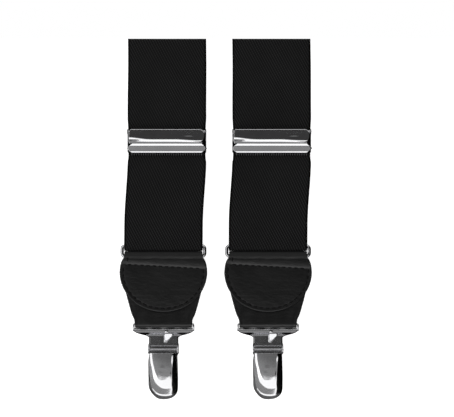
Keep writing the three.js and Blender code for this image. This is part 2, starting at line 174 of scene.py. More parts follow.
def panel(name, across, along, width, height, radiance, reach=1.5):
    """A soft, evenly bright panel that faces the clips. It stands in the direction that is across and along degrees
    from straight up, towards +X and +Y, and width and height are the degrees that it spans."""
    middle = Vector((0, tip("left").y + 0.09, 0))
    toward = Vector((math.tan(math.radians(across)), math.tan(math.radians(along)), 1)).normalized()
    data = bpy.data.lights.new(name, "AREA")
    data.shape = "RECTANGLE"
    data.size = 2 * reach * math.tan(math.radians(width / 2))
    data.size_y = 2 * reach * math.tan(math.radians(height / 2))
    data.energy = radiance * math.pi * data.size * data.size_y
    x_axis = Vector((1, 0, 0))
    x_axis = (x_axis - toward * x_axis.dot(toward)).normalized()
    turn = Matrix((x_axis, toward.cross(x_axis), toward)).transposed().to_4x4()
    link(name, data).matrix_world = Matrix.Translation(middle + toward * reach) @ turn


def light_the_studio():
    """Soft light from all round for the fabric; the panels are what the metal mirrors."""
    panel("softbox_low", -13, -49, 76, 42, 1.25)
    panel("softbox_high", 0, 55, 84, 46, 1.25)
    panel("softbox_left", -54, 0, 42, 60, 1.2)
    panel("grey_low", -16, -18, 64, 19, 0.25)
    panel("overhead", -14, -5.2, 52, 10.4, 0.16)
    panel("grey_high", 0, 16.3, 64, 32, 0.04)
    panel("horizon_low", 0, -84, 100, 24, 0.1)
    panel("horizon_left", -86, 0, 24, 100, 0.12)
    world = bpy.data.worlds.new("studio")
    world.use_nodes = True
    background = world.node_tree.nodes["Background"]
    background.inputs["Color"].default_value = (1, 1, 1, 1)
    background.inputs["Strength"].default_value = 0.6
    world.cycles_visibility.glossy = False
    bpy.context.scene.world = world
    bpy.context.scene.view_settings.view_transform = "Standard"


# ---------------------------------------------------------------- materials

class Surface:
    """A material with a Principled shader, and short ways to add nodes to it."""

    def __init__(self, name, color, roughness, metallic=0.0, **sockets):
        self.material = bpy.data.materials.new(name)
        self.material.use_nodes = True
        self.tree = self.material.node_tree
        self.shader = self.tree.nodes["Principled BSDF"]
        self.set("Base Color", (*color, 1))
        self.set("Roughness", roughness)
        self.set("Metallic", metallic)
        for socket, value in sockets.items():
            self.set(socket.replace("_", " "), value)

    def set(self, socket, value):
        self.shader.inputs[socket].default_value = value

    def node(self, kind, **inputs):
        node = self.tree.nodes.new(kind)
        for socket, value in inputs.items():
            self.feed(node.inputs[socket.replace("_", " ")], value)
        return node

    def feed(self, socket, value):
        if isinstance(value, bpy.types.NodeSocket):
            self.tree.links.new(value, socket)
        else:
            socket.default_value = value

    def math(self, operation, *values):
        node = self.tree.nodes.new("ShaderNodeMath")
        node.operation = operation
        for socket, value in zip(node.inputs, values):
            self.feed(socket, value)
        return node.outputs[0]

    def wave(self, phase):
        """A wave from 0 to 1 that repeats at each whole number."""
        return self.math("MULTIPLY_ADD", self.math("SINE", self.math("MULTIPLY", phase, 2 * math.pi)), 0.5, 0.5)

    def axes(self, kind="Object"):
        """x, y and z of a point in mm, from its place on the object or from its UV."""
        coordinates = self.tree.nodes.new("ShaderNodeTexCoord").outputs[kind]
        parts = self.node("ShaderNodeSeparateXYZ", Vector=coordinates)
        return [self.math("MULTIPLY", parts.outputs[i], 1000.0) for i in range(3)]

    def noise(self, scale, detail=3.0, stretch=(1, 1, 1)):
        """Noise of about that many waves in a millimetre."""
        coordinates = self.tree.nodes.new("ShaderNodeTexCoord").outputs["Object"]
        mapping = self.node("ShaderNodeMapping", Vector=coordinates)
        mapping.inputs["Scale"].default_value = [1000 * scale * s for s in stretch]
        noise = self.node("ShaderNodeTexNoise", Vector=mapping.outputs[0], Scale=1.0, Detail=detail)
        return noise.outputs["Fac"]

    def between(self, factor, low, high, source=(0.0, 1.0)):
        node = self.node("ShaderNodeMapRange", Value=factor)
        for socket, value in zip(("From Min", "From Max", "To Min", "To Max"), (*source, low, high)):
            node.inputs[socket].default_value = value
        return node.outputs[0]

    def shade(self, factor, dark, light):
        node = self.node("ShaderNodeValToRGB", Fac=factor)
        node.color_ramp.elements[0].color = (*dark, 1)
        node.color_ramp.elements[1].color = (*light, 1)
        return node.outputs[0]

    def bump(self, height, distance_mm, strength=1.0, normal=None):
        node = self.node("ShaderNodeBump", Height=height, Strength=strength, Distance=distance_mm * MM)
        if normal is not None:
            self.tree.links.new(normal, node.inputs["Normal"])
        return node.outputs[0]

    def finish(self, **links):
        for socket, value in links.items():
            self.tree.links.new(value, self.shader.inputs[socket.replace("_", " ")])
        return self.material


def grey(value):
    return (value, value, value * 1.02)


def webbing_material():
    """Black elastic twill: steep ribs, each broken into picks, and flat selvedges."""
    rib_pitch, pick_pitch, lean_down = 1.12, 0.95, math.radians(62)
    surface = Surface("elastic_webbing", grey(0.005), 0.7, Sheen_Weight=0.01, Sheen_Roughness=0.5,
                      Specular_IOR_Level=0.06)
    u, v, _ = surface.axes("UV")
    across = surface.math("ADD", surface.math("MULTIPLY", u, math.sin(lean_down) / rib_pitch),
                          surface.math("MULTIPLY", v, math.cos(lean_down) / rib_pitch))
    rib = surface.wave(across)
    step = surface.math("MULTIPLY", surface.math("FLOOR", across), 0.5)
    along = surface.math("ADD", surface.math("MULTIPLY", v, 1 / pick_pitch), step)
    pick = surface.wave(along)
    thread = surface.math("MULTIPLY", rib, surface.between(pick, 0.55, 1.0))
    fuzz = surface.noise(2.5, 4)
    patchy = surface.noise(0.06, 2)
    from_edge = surface.math("SUBTRACT", WEBBING_WIDTH / 2, surface.math("ABSOLUTE", u))
    inside = surface.between(from_edge, 0.0, 1.0, (0.5, 1.3))
    inside.node.interpolation_type = "SMOOTHSTEP"
    woven = surface.math("MULTIPLY", thread, inside)
    tone = surface.math("ADD", surface.math("MULTIPLY", woven, surface.between(patchy, 0.75, 1.15)),
                        surface.between(fuzz, -0.06, 0.08))
    relief = surface.math("ADD", woven, surface.math("MULTIPLY", fuzz, 0.25))
    return surface.finish(
        Base_Color=surface.shade(tone, grey(0.0), grey(0.0175)),
        Roughness=surface.between(fuzz, 0.6, 0.85),
        Normal=surface.bump(relief, 0.16, 0.8))


def leather_material(name, shine=0.36, gloss=0.6):
    """Smooth black leather: fine pebbled grain, soft creases and a little uneven polish."""
    surface = Surface(name, grey(0.003), shine, Specular_IOR_Level=gloss)
    coordinates = surface.tree.nodes.new("ShaderNodeTexCoord").outputs["Object"]
    pebbles = surface.node("ShaderNodeTexVoronoi", Vector=coordinates, Scale=1600.0)
    pebbles.feature = "SMOOTH_F1"
    pores = surface.noise(2.2, 5)
    creases = surface.noise(0.22, 4, (1, 2.2, 1))
    polish = surface.noise(0.08, 3)
    grain = surface.math("ADD", surface.math("MULTIPLY", pebbles.outputs["Distance"], 0.6),
                         surface.math("MULTIPLY", pores, 0.5))
    soft = surface.bump(creases, 0.35, 0.5)
    height = surface.node("ShaderNodeSeparateXYZ", Vector=coordinates).outputs["Y"]
    # The leather is duller where it folds over the ring.
    dull = surface.between(height, 0.0, 0.5, ((LOWER_BAR - 0.8) * MM, (LOWER_BAR + 0.2) * MM))
    return surface.finish(
        Base_Color=surface.shade(polish, grey(0.0008), grey(0.0025)),
        Roughness=surface.math("ADD", dull, surface.between(surface.math(
            "MULTIPLY_ADD", pores, 0.4, surface.math("MULTIPLY", polish, 0.6)), shine - 0.12, shine + 0.1)),
        Normal=surface.bump(grain, 0.05, 0.7, soft))


def plated_material(name, tone, roughness, wear=0.08):
    """Bright nickel plate: almost a mirror, with faint hairlines, handling marks and a slightly wavy surface."""
    surface = Surface(name, grey(tone), roughness, metallic=1.0)
    smears = surface.noise(0.12, 4)
    hairlines = surface.noise(0.9, 2, (0.15, 3.0, 1.0))
    waves = surface.noise(0.09, 1)
    marks = surface.math("ADD", surface.math("MULTIPLY", smears, 0.65), surface.math("MULTIPLY", hairlines, 0.35))
    return surface.finish(
        Base_Color=surface.shade(smears, grey(tone * 0.9), grey(min(1.0, tone * 1.06))),
        Roughness=surface.between(marks, roughness, roughness + wear, (0.35, 0.75)),
        Normal=surface.bump(hairlines, 0.006, 0.5, surface.bump(waves, 0.25, 0.35)))


def satin_steel_material():
    """Plated steel inside the adjuster and the clip: satin, with fine lines from rolling."""
    surface = Surface("inner_steel", grey(0.5), 0.3, metallic=1.0)
    lines = surface.noise(1.4, 3, (0.1, 1.0, 1.0))
    spots = surface.noise(0.3, 4)
    return surface.finish(
        Base_Color=surface.shade(spots, grey(0.4), grey(0.62)),
        Roughness=surface.between(lines, 0.24, 0.42),
        Normal=surface.bump(lines, 0.02, 0.5))


def pad_material():
    """Moulded black plastic with a fine spark-eroded texture."""
    surface = Surface("grip_pad", grey(0.018), 0.55)
    grain = surface.noise(4.0, 3)
    return surface.finish(
        Base_Color=surface.shade(grain, grey(0.013), grey(0.026)),
        Roughness=surface.between(grain, 0.45, 0.65),
        Normal=surface.bump(grain, 0.03, 0.6))


def thread_material():
    """Waxed black sewing thread, with its twist."""
    surface = Surface("black_thread", grey(0.002), 0.6, Specular_IOR_Level=0.15)
    twist = surface.noise(3.5, 2, (1.0, 0.5, 1.0))
    return surface.finish(
        Base_Color=surface.shade(twist, grey(0.001), grey(0.003)),
        Roughness=surface.between(twist, 0.45, 0.7),
        Normal=surface.bump(twist, 0.05, 0.8))


def floor_material():
    """White paper, brightly lit."""
    surface = Surface("white_paper", (0.92, 0.92, 0.92), 0.9, Specular_IOR_Level=0.1,
                      Emission_Color=(1, 1, 1, 1), Emission_Strength=0.6)
    fibre = surface.noise(0.4, 5)
    return surface.finish(Normal=surface.bump(fibre, 0.02, 0.2))


def card_material():
    surface = Surface("white_card", (0, 0, 0), 1.0, Specular_IOR_Level=0.0,
                      Emission_Color=(1, 1, 1, 1), Emission_Strength=1.0)
    return surface.material


# ---------------------------------------------------------------- mesh tools

def new_object(name, verts_mm, faces, material, uvs=None, sharp=None):
    """A smooth mesh object from points in mm. uvs gives each point its UV, in mm. Edges that turn by more than sharp
    degrees stay crisp."""
    mesh = bpy.data.meshes.new(name)
    mesh.from_pydata([tuple(MM * float(c) for c in v) for v in verts_mm], [], faces)
    if uvs is not None:
        layer = mesh.uv_layers.new(name="weave")
        loops = np.zeros(len(mesh.loops), np.int32)
        mesh.loops.foreach_get("vertex_index", loops)
        layer.data.foreach_set("uv", (np.asarray(uvs)[loops] * MM).astype(np.float32).ravel())
    mesh.materials.append(material)
    clean(mesh)
    mesh.polygons.foreach_set("use_smooth", [True] * len(mesh.polygons))
    if sharp is not None:
        mesh.set_sharp_from_angle(angle=math.radians(sharp))
    return link(name, mesh)


def clean(mesh):
    work = bmesh.new()
    work.from_mesh(mesh)
    bmesh.ops.remove_doubles(work, verts=work.verts, dist=2e-6)
    bmesh.ops.dissolve_degenerate(work, edges=work.edges, dist=1e-6)
    bmesh.ops.recalc_face_normals(work, faces=work.faces)
    work.to_mesh(mesh)
    work.free()


def grid_faces(rows, columns, offset=0, wrap=False, flip=False):
    faces = []
    for i in range(rows - 1):
        for j in range(columns if wrap else columns - 1):
            k = (j + 1) % columns
            quad = (offset + i * columns + j, offset + i * columns + k,
                    offset + (i + 1) * columns + k, offset + (i + 1) * columns + j)
            faces.append(quad[::-1] if flip else quad)
    return faces


def tube_faces(rows, columns, offset=0):
    """Faces of a closed tube: its wall, and a face over each end."""
    last = offset + (rows - 1) * columns
    return grid_faces(rows, columns, offset, wrap=True) + [tuple(range(offset, offset + columns))[::-1],
                                                           tuple(range(last, last + columns))]


def distance_to(x, y, path):
    """Shortest distance of each (x, y) from a line of (x, y)."""
    path = np.array(path, float)
    points = np.column_stack([np.atleast_1d(x), np.atleast_1d(y)])
    best = np.full(len(points), np.inf)
    for start, end in zip(path, path[1:]):
        d = end - start
        t = np.clip(((points - start) @ d) / max(float(d @ d), 1e-12), 0, 1)
        best = np.minimum(best, np.linalg.norm(points - start - t[:, None] * d, axis=1))
    return best


def crowded(low, high, count):
    """Numbers from low to high that crowd together at both ends."""
    return low + (high - low) * (1 - np.cos(np.linspace(0, math.pi, count))) / 2


def rounding(distance, radius):
    """How far a rounded edge has dropped, at that distance in from the edge."""
    inset = radius - np.minimum(distance, radius)
    return radius - np.sqrt(np.maximum(radius ** 2 - inset ** 2, 0))


def chamfer(distance, width, degrees):
    """How far a sloping edge has dropped, at that distance in from the edge."""
    return np.maximum(0, width - distance) * math.tan(math.radians(degrees))


def groove(distance, centre, width, depth):
    """A soft furrow, such as stitching pulls into leather."""
    return depth * np.exp(-((distance - centre) / width) ** 2)


def bell(x, y, middle, width, depth=None):
    """A round or oval bump, 1 at its middle."""
    depth = depth or width
    return np.exp(-((x - middle[0]) / width) ** 2 - ((y - middle[1]) / depth) ** 2)


def ease(t):
    return t * t * (3 - 2 * t)


def plate(name, rows, half_width, columns, top, bottom, material, place=None, middle=None, sharp=None):
    """A closed plate whose plan is 2 * half_width(y) wide at each row y. top and bottom give its two faces from
    x, y and the distance to the edge. middle shifts a row sideways, and place carries (x, y, z) somewhere else."""
    half = np.array([half_width(y) for y in rows])
    shift = np.array([middle(y) if middle else 0.0 for y in rows])
    x = (half[:, None] * crowded(-1, 1, columns)[None, :] + shift[:, None]).ravel()
    y = np.repeat(rows, columns)
    edge = np.vstack([np.column_stack([shift + half, rows]), np.column_stack([shift - half, rows])[::-1]])
    edge = edge[np.r_[True, np.linalg.norm(np.diff(edge, axis=0), axis=1) > 1e-4]]
    distance = distance_to(x, y, np.vstack([edge, edge[:1]]))
    verts = np.vstack([np.column_stack([x, y, top(x, y, distance)]), np.column_stack([x, y, bottom(x, y, distance)])])
    n, count = len(rows), len(x)
    faces = grid_faces(n, columns) + grid_faces(n, columns, count, flip=True)
    border = ([*range(columns)] + [i * columns + columns - 1 for i in range(1, n)]
              + [(n - 1) * columns + j for j in range(columns - 2, -1, -1)]
              + [i * columns for i in range(n - 2, 0, -1)])
    faces += [(b, a, a + count, b + count) for a, b in zip(border, border[1:] + border[:1])]
    if place is not None:
        verts = place(verts)
    return new_object(name, verts, faces, material, sharp=sharp)


def smooth_function(points):
    """A soft curve through (y, value) points, as a function of y (monotone cubic)."""
    ys, values = (np.array(part, float) for part in zip(*sorted(points)))
    slopes = np.diff(values) / np.diff(ys)
    tangents = np.zeros(len(ys))
    for i in range(1, len(ys) - 1):
        a, b = slopes[i - 1], slopes[i]
        tangents[i] = 0.0 if a * b <= 0 else 2 * a * b / (a + b)
    tangents[0], tangents[-1] = slopes[0], slopes[-1]

    def value(y):
        k = int(np.clip(np.searchsorted(ys, y) - 1, 0, len(slopes) - 1))
        h = ys[k + 1] - ys[k]
        t = min(max((y - ys[k]) / h, 0.0), 1.0)
        return float((2 * t ** 3 - 3 * t ** 2 + 1) * values[k] + (t ** 3 - 2 * t ** 2 + t) * h * tangents[k]
                     + (3 * t ** 2 - 2 * t ** 3) * values[k + 1] + (t ** 3 - t ** 2) * h * tangents[k + 1])
    return value


def bar_arc(y, z, radius, start, end, step=12):
    """Points (y, z) round a bar, from one angle to another, in degrees."""
    count = max(2, int(abs(end - start) / step) + 1)
    return [(y + radius * math.cos(math.radians(a)), z + radius * math.sin(math.radians(a)))
            for a in np.linspace(start, end, count)]


def ramp(y0, z0, y1, z1, steps):
    """Points (y, z) of a gentle step from one height to another."""
    return [(y0 + (y1 - y0) * s, z0 + (z1 - z0) * ease(s)) for s in np.linspace(0, 1, steps + 1)]


def refine(line, spacing):
    """The same line with no gap longer than spacing."""
    points = [line[0]]
    for a, b in zip(line, line[1:]):
        steps = max(1, math.ceil(math.dist(a, b) / spacing))
        points += [tuple(np.array(a) + (np.array(b) - np.array(a)) * k / steps) for k in range(1, steps + 1)]
    return points


def frames_along(line):
    """Points, unit normals and running length of a line of (y, z)."""
    points = np.array(line, float)
    along = np.gradient(points, axis=0)
    along /= np.linalg.norm(along, axis=1)[:, None]
    normals = np.column_stack([-along[:, 1], along[:, 0]])
    length = np.r_[0, np.cumsum(np.linalg.norm(np.diff(points, axis=0), axis=1))]
    return points, normals, length


def rod(name, line, radius, material, closed=False, sides=12):
    """A round wire along a line of (x, y, z)."""
    points = np.array(line, float)
    n = len(points)
    rings = []
    for i, p in enumerate(points):
        before = points[i - 1] if closed or i else points[0]
        after = points[(i + 1) % n] if closed or i < n - 1 else points[-1]
        along = (after - before) / np.linalg.norm(after - before)
        up = np.array([0.0, 0.0, 1.0]) if abs(along[2]) < 0.9 else np.array([0.0, 1.0, 0.0])
        side = np.cross(along, up)
        side /= np.linalg.norm(side)
        up = np.cross(side, along)
        angles = np.linspace(0, 2 * math.pi, sides, endpoint=False)
        rings.append(p + radius * (np.cos(angles)[:, None] * side + np.sin(angles)[:, None] * up))
    if closed:
        last = (n - 1) * sides
        faces = grid_faces(n, sides, wrap=True) + [(last + j, last + (j + 1) % sides, (j + 1) % sides, j)
                                                   for j in range(sides)]
    else:
        faces = tube_faces(n, sides)
    return new_object(name, np.vstack(rings), faces, material)


def merge(target, *others):
    """Puts the others' meshes into the first object."""
    work = bmesh.new()
    for obj in (target, *others):
        work.from_mesh(obj.data)
    work.to_mesh(target.data)
    work.free()
    for obj in others:
        bpy.data.objects.remove(obj)
    return target


def place_copies(originals, side, matrix):
    """Places a copy of each piece on its body at that side's end, in place of its CAD nodes."""
    for original, body, name, slot, *nodes in originals:
        obj = link(f"{side}_{name}", original.data)
        obj.matrix_world = matrix
        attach(obj, f"{side}_{body}")
        if nodes:
            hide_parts(*(f"{side}_{node}" for node in nodes))


# ---------------------------------------------------------------- webbing

def webbing_section():
    """The webbing's section, (across, out): flat, with rounded selvedges a little thinner than its middle."""
    half, thick = WEBBING_WIDTH / 2, WEBBING_THICKNESS / 2
    right = [(half - SELVEDGE + SELVEDGE * math.cos(a), 0.86 * thick * math.sin(a))
             for a in np.linspace(math.pi / 2, -math.pi / 2, 7)]
    across = np.linspace(-half + SELVEDGE, half - SELVEDGE, 22)[1:-1]
    top = [(x, thick * (1 - 0.14 * (abs(x) / half) ** 12)) for x in across]
    return np.array(top + right + [(x, -z) for x, z in top[::-1]] + [(-x, z) for x, z in right[::-1]])


def ribbon(name, line, material, place, twill=1):
    """Webbing along a line of (y, z). Its UV runs across and along it. place carries the points to their course."""
    points, normals, length = frames_along(line)
    section = webbing_section()
    wander = 0.12 * np.sin(length / 17.0) + 0.06 * np.sin(length / 5.3 + 1.0)
    at_selvedge = np.abs(section[:, 0]) > WEBBING_WIDTH / 2 - 1
    verts, uvs = [], []
    for p, n, s, w in zip(points, normals, length, wander):
        across = section[:, 0] + w * at_selvedge * 0.6
        verts.append(np.column_stack([across, p[0] + section[:, 1] * n[0], p[1] + section[:, 1] * n[1]]))
        uvs.append(np.column_stack([twill * section[:, 0], np.full(len(section), s)]))
    return new_object(name, place(np.vstack(verts)), tube_faces(len(points), len(section)), material, np.vstack(uvs))


def declare(webbing, line, rests_on, *nodes):
    """Hides the CAD nodes that the webbing replaces, and works out the length of the line of its middle without keeping
    it.
    """
    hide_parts(*nodes)
    frames_along(line)[2][-1] * MM


def pinched(verts):
    """The adjuster's cheeks squeeze the webbing a little narrower."""
    near = np.clip((ADJUSTER_HALF + 3.5 - np.abs(verts[:, 1] - ADJUSTER)) / 3.0, 0, 1)
    verts[:, 0] *= 1 - 0.021 * ease(near)
    return verts


def along_course(side):
    """Carries a straight front strap onto its course towards the patch."""
    direction = -1 if side == "left" else 1

    def place(verts):
        across, y, z = pinched(verts).T
        turned = np.maximum(0, y - BEND_START) / BEND_RADIUS
        on_arc = turned > 0
        x = np.where(on_arc, -direction * BEND_RADIUS * (1 - np.cos(turned)) + across * np.cos(turned), across)
        y = np.where(on_arc, BEND_START + BEND_RADIUS * np.sin(turned) + direction * across * np.sin(turned), y)
        return np.column_stack([x, y, z])
    return place


def cut_at_middle(obj, side):
    """The two straps meet in a mitre under the patch."""
    direction = -1 if side == "left" else 1
    work = bmesh.new()
    work.from_mesh(obj.data)
    plane = (LEAN * MM - STRAP_X[side] + direction * 0.00015, 0, 0)
    cut = bmesh.ops.bisect_plane(work, geom=work.verts[:] + work.edges[:] + work.faces[:], plane_co=plane,
                                 plane_no=(-direction, 0, 0), clear_outer=True)
    open_edges = [e for e in cut["geom_cut"] if isinstance(e, bmesh.types.BMEdge)]
    bmesh.ops.contextual_create(work, geom=open_edges)
    work.to_mesh(obj.data)
    work.free()


def make_front_strap(side, material):
    line = refine([(ADJUSTER + 0.15, ADJUSTER_LAYER)]
                  + ramp(ADJUSTER + ADJUSTER_HALF + 2, ADJUSTER_LAYER, LANDING, FLOOR_LAYER, 14)
                  + [(BEND_START, FLOOR_LAYER)]
                  + ramp(BEND_START + 15, FLOOR_LAYER, PATCH_RAMP_END, PATCH_LAYER, 8)
                  + [(BEND_END, PATCH_LAYER)], 5.0)
    strap = ribbon(f"{side}_strap_webbing", line, material, along_course(side))
    cut_at_middle(strap, side)
    strap.location = (STRAP_X[side], tip("left").y, 0)
    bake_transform(strap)
    declare(strap, line, ["floor"], f"{side}_strap")


def make_strap_loop(side, material):
    line = refine([(ADJUSTER - 0.15, ADJUSTER_LAYER)]
                  + ramp(ADJUSTER - ADJUSTER_HALF, ADJUSTER_LAYER, LOOP_SPREAD, RING_LAYER, 8)
                  + bar_arc(UPPER_BAR, RING_Z, TURN + FLOOR_LAYER, 90, 270)
                  + ramp(LOOP_SPREAD, FLOOR_LAYER, ADJUSTER - ADJUSTER_HALF, FLOOR_LAYER, 8)
                  + bar_arc(ADJUSTER + BACK_BAR[0], BACK_BAR[1], 0.9 + FLOOR_LAYER, -90, 150), 2.0)

    def lean_over(verts):
        verts = pinched(verts)
        verts[:, 0] -= LEAN * ease(np.clip((ADJUSTER - 8 - verts[:, 1]) / 32, 0, 1))
        return verts
    loop = ribbon(f"{side}_strap_loop_webbing", line, material, lean_over, twill=-1)
    loop.location = (STRAP_X[side], tip("left").y, 0)
    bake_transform(loop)
    declare(loop, line, [f"{side}_ring_wire"], f"{side}_strap_loop")


def make_back_strap(material):
    patch_edge, tail, over_tail = TOTAL - PATCH_HIGH, 104, 2.4
    line = refine([(tail, FLOOR_LAYER)] + bar_arc(UPPER_BAR, RING_Z, TURN + FLOOR_LAYER, -90, -270)
                  + ramp(LOOP_SPREAD, RING_LAYER, tail - 6, over_tail, 6)
                  + ramp(tail + 2, over_tail, tail + 20, FLOOR_LAYER, 6)
                  + ramp(patch_edge - 32, FLOOR_LAYER, patch_edge - 4, PATCH_LAYER, 6)
                  + [(TOTAL - 771.5, PATCH_LAYER)], 5.0)
    strap = ribbon("back_strap_webbing", line, material, lambda verts: verts)
    strap.matrix_world = end_matrix("back")
    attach(strap, "root")
    declare(strap, line, ["floor", "back_ring_wire"], "back_strap")


# ---------------------------------------------------------------- stitches

def stitch_row(path, surface, pitch=2.9, length=2.15, radius=0.33):
    """Points and faces of stitches laid along a line of (x, y), on the surface z = surface(x, y)."""
    path = np.array(path, float)
    run = np.r_[0, np.cumsum(np.linalg.norm(np.diff(path, axis=0), axis=1))]
    count = max(1, int(run[-1] / pitch))
    sides, rings = 8, 7
    verts, faces = [], []
    for k in range(count):
        centre = (k + 0.5) * run[-1] / count
        ends = [np.array([np.interp(centre + e * length / 2, run, path[:, i]) for i in (0, 1)]) for e in (-1, 1)]
        along = np.r_[ends[1] - ends[0], 0.0]
        along /= np.linalg.norm(along)
        side = np.array([-along[1], along[0], 0.0])
        faces += tube_faces(rings, sides, len(verts))
        for s in np.linspace(-1, 1, rings):
            middle = (ends[0] + ends[1]) / 2 + (ends[1] - ends[0]) / 2 * s
            z = surface(*middle) + 0.16 * (1 - s * s) - 0.14
            thick = radius * math.sqrt(max(0.0, 1 - 0.93 * s ** 4))
            for a in np.linspace(0, 2 * math.pi, sides, endpoint=False):
                verts.append(np.r_[middle, z] + thick * (math.cos(a) * side + np.array([0, 0, math.sin(a)])))
    return verts, faces


def stitches(name, paths, surface, material, **sizes):
    verts, faces = [], []
    for path in paths:
        more, quads = stitch_row(path, surface, **sizes)
        faces += [tuple(i + len(verts) for i in face) for face in quads]
        verts += more
    return new_object(name, verts, faces, material)


# ---------------------------------------------------------------- leather tab

FLAP_WIDEST = 61.9
FLAP_HALF = 21.2
FLAP_END = FLAP_WIDEST - 19.3
FOLD_HALF = 18.9
SEAM_INSET = 1.7


def flap_half_width(y):
    if y <= FLAP_WIDEST:
        return FLAP_HALF * math.sqrt(max(0.0, 1 - ((FLAP_WIDEST - y) / (FLAP_WIDEST - FLAP_END)) ** 2))
    return SHOULDER_WIDTH(y)


SHOULDER_WIDTH = smooth_function([(FLAP_WIDEST, FLAP_HALF), (64.8, 20.9), (66.8, 20.35), (68.0, 19.75),
                                  (LOWER_BAR - 0.7, 19.15), (LOWER_BAR + 1.7, 18.85), (LOWER_BAR + 5, FOLD_HALF)])


def seam_line():
    """The straight seam across the top of the flap, which slopes a little, from left to right."""
    return [(-17.8, LOWER_BAR - 4.0), (17.9, LOWER_BAR - 6.0)]


def seam_curve():
    """The curved seam that follows the flap's round end, from left to right."""
    inset_a, inset_b = FLAP_HALF - SEAM_INSET, FLAP_WIDEST - FLAP_END - SEAM_INSET
    return [(inset_a * math.sin(a), FLAP_WIDEST - inset_b * math.cos(a))
            for a in np.linspace(-math.radians(98), math.radians(96), 60)]


def flap_relief(x, y):
    """How far the flap's outer face stands above a flat sheet: puffed between its seams, pulled in along them."""
    (x0, y0), (x1, y1) = seam_line()
    straight, curved = distance_to(x, y, seam_line()), distance_to(x, y, seam_curve())
    over = np.clip((y - y0 - (x - x0) * (y1 - y0) / (x1 - x0)) / 3.4, 0, 1)
    puff = 0.14 * (1 - np.exp(-(np.minimum(straight, curved) / 2.6) ** 2))
    roll = 0.55 * (1 - (1 - over) ** 2)
    return puff * (over == 0) + roll - groove(straight, 0, 0.45, 0.12) - groove(curved, 0, 0.45, 0.10)


def make_outer_tab(material):
    """One sheet, folded over the ring's lower bar. Its rows run from the front flap's end, over the bar, to the
    back flap's end; 'run' is measured along the sheet."""
    half = OUTER_LEATHER / 2
    turn = TURN + half
    flat = LOWER_BAR - FLAP_END
    folded = flat + math.pi * turn
    swell, rim = 0.14, 0.42
    rows = np.r_[crowded(0, 6, 12)[:-1], np.linspace(3, flat, 70)[1:], np.linspace(flat, folded, 16)[1:],
                 np.linspace(folded, folded + flat - 3, 30)[1:], crowded(0, 6, 12)[1:] + folded + flat - 6]
    rows = np.unique(np.round(rows, 4))

    def y_of(run):
        if run <= flat:
            return FLAP_END + run
        if run <= folded:
            return LOWER_BAR + (turn + half) * math.sin((run - flat) / turn)
        return LOWER_BAR - (run - folded)

    def half_width(run):
        return max(flap_half_width(y_of(run)), 0.05)

    def top(x, run, edge):
        y = np.array([y_of(r) for r in run])
        fade = np.clip((flat - run) / 1.5, 0, 1)
        front = swell + (flap_relief(x, np.where(run <= flat, y, 0)) - swell) * fade
        back = -groove(distance_to(x, y, seam_curve()), 0, 0.5, 0.2)
        relief = np.select([run <= flat, run < folded, run > folded], [front, swell, back], 0.0)
        return half + relief - rounding(edge, rim)

    def bottom(x, run, edge):
        return -half + rounding(edge, rim)

    def place(verts):
        x, run, out = verts.T
        angle = np.clip((run - flat) / turn, 0, math.pi)
        beside = np.minimum(run, flat) - flat - np.maximum(run - folded, 0)
        y = LOWER_BAR + beside + (turn + out) * np.sin(angle)
        return np.column_stack([x, y, RING_Z + (turn + out) * np.cos(angle)])
    return plate("outer_tab", rows, half_width, 61, top, bottom, material, place)


def make_tab_stitches(material):
    face = RING_Z + TURN + OUTER_LEATHER

    def surface(x, y):
        return face + float(flap_relief(x, y)[0])
    x, y = seam_line()[0]
    upright = [(x + 0.7, y + 4.2), (x + 0.3, y + 0.6)]
    return stitches("tab_stitches", [seam_line(), seam_curve(), upright], surface, material)


def make_inner_tab(material):
    """The sheet that holds the clip's bar in its fold; both ends are sewn in between the flaps."""
    half = INNER_LEATHER / 2
    apart = (INNER_LEATHER + 0.3) / 2
    turn = 1.05 + half
    top_y = LOWER_BAR - 3.4
    line = refine([(top_y, RING_Z + apart)]
                  + ramp(45.5, RING_Z + apart, CLIP_BAR + 1.2, RING_Z + turn - 0.05, 8)
                  + bar_arc(CLIP_BAR, RING_Z, turn, 90, 270)
                  + ramp(CLIP_BAR + 1.2, RING_Z - turn + 0.05, 43, RING_Z - apart, 8)
                  + [(top_y, RING_Z - apart)], 1.0)
    points, normals, length = frames_along(line)
    outline = smooth_function([(CLIP_BAR - 3, 13.8), (CLIP_BAR + 1.5, 14.0), (41.5, 15.35), (46, 16.7), (51, 18.0),
                               (55, 18.9), (top_y + 1, 18.2)])

    def half_width(run):
        return outline(float(np.interp(run, length, points[:, 0])))

    def top(x, run, edge):
        y = np.interp(run, length, points[:, 0])
        front = run < length[-1] / 2
        edge_line = groove(edge, 1.5, 0.35, 0.1) * (y < 47)
        return half - rounding(edge, 0.38) - np.where(front, edge_line, 0) + 0.05 * np.sin(x * 0.9 + run * 0.35)

    def bottom(x, run, edge):
        return -half + rounding(edge, 0.38)

    def place(verts):
        x, run, out = verts.T
        y, z, ny, nz = (np.interp(run, length, part) for part in (*points.T, *normals.T))
        return np.column_stack([x, y - out * ny, z - out * nz])
    return plate("inner_tab", length, half_width, 45, top, bottom, material, place)


# ---------------------------------------------------------------- ring

def make_ring(material):
    half_x, half_y, corner = WEBBING_WIDTH / 2 + 0.2 + WIRE_RADIUS, (UPPER_BAR - LOWER_BAR) / 2, 1.4
    line = []
    for cx, cy, start in ((1, 1, 0), (-1, 1, 90), (-1, -1, 180), (1, -1, 270)):
        middle = (UPPER_BAR + LOWER_BAR) / 2 + cy * (half_y - corner)
        bend = bar_arc(cx * (half_x - corner), middle, corner, start, start + 90, 12.8)
        line += [(x, y, RING_Z) for x, y in bend]
    return rod("ring", line, WIRE_RADIUS, material, closed=True, sides=16)


# ---------------------------------------------------------------- adjuster

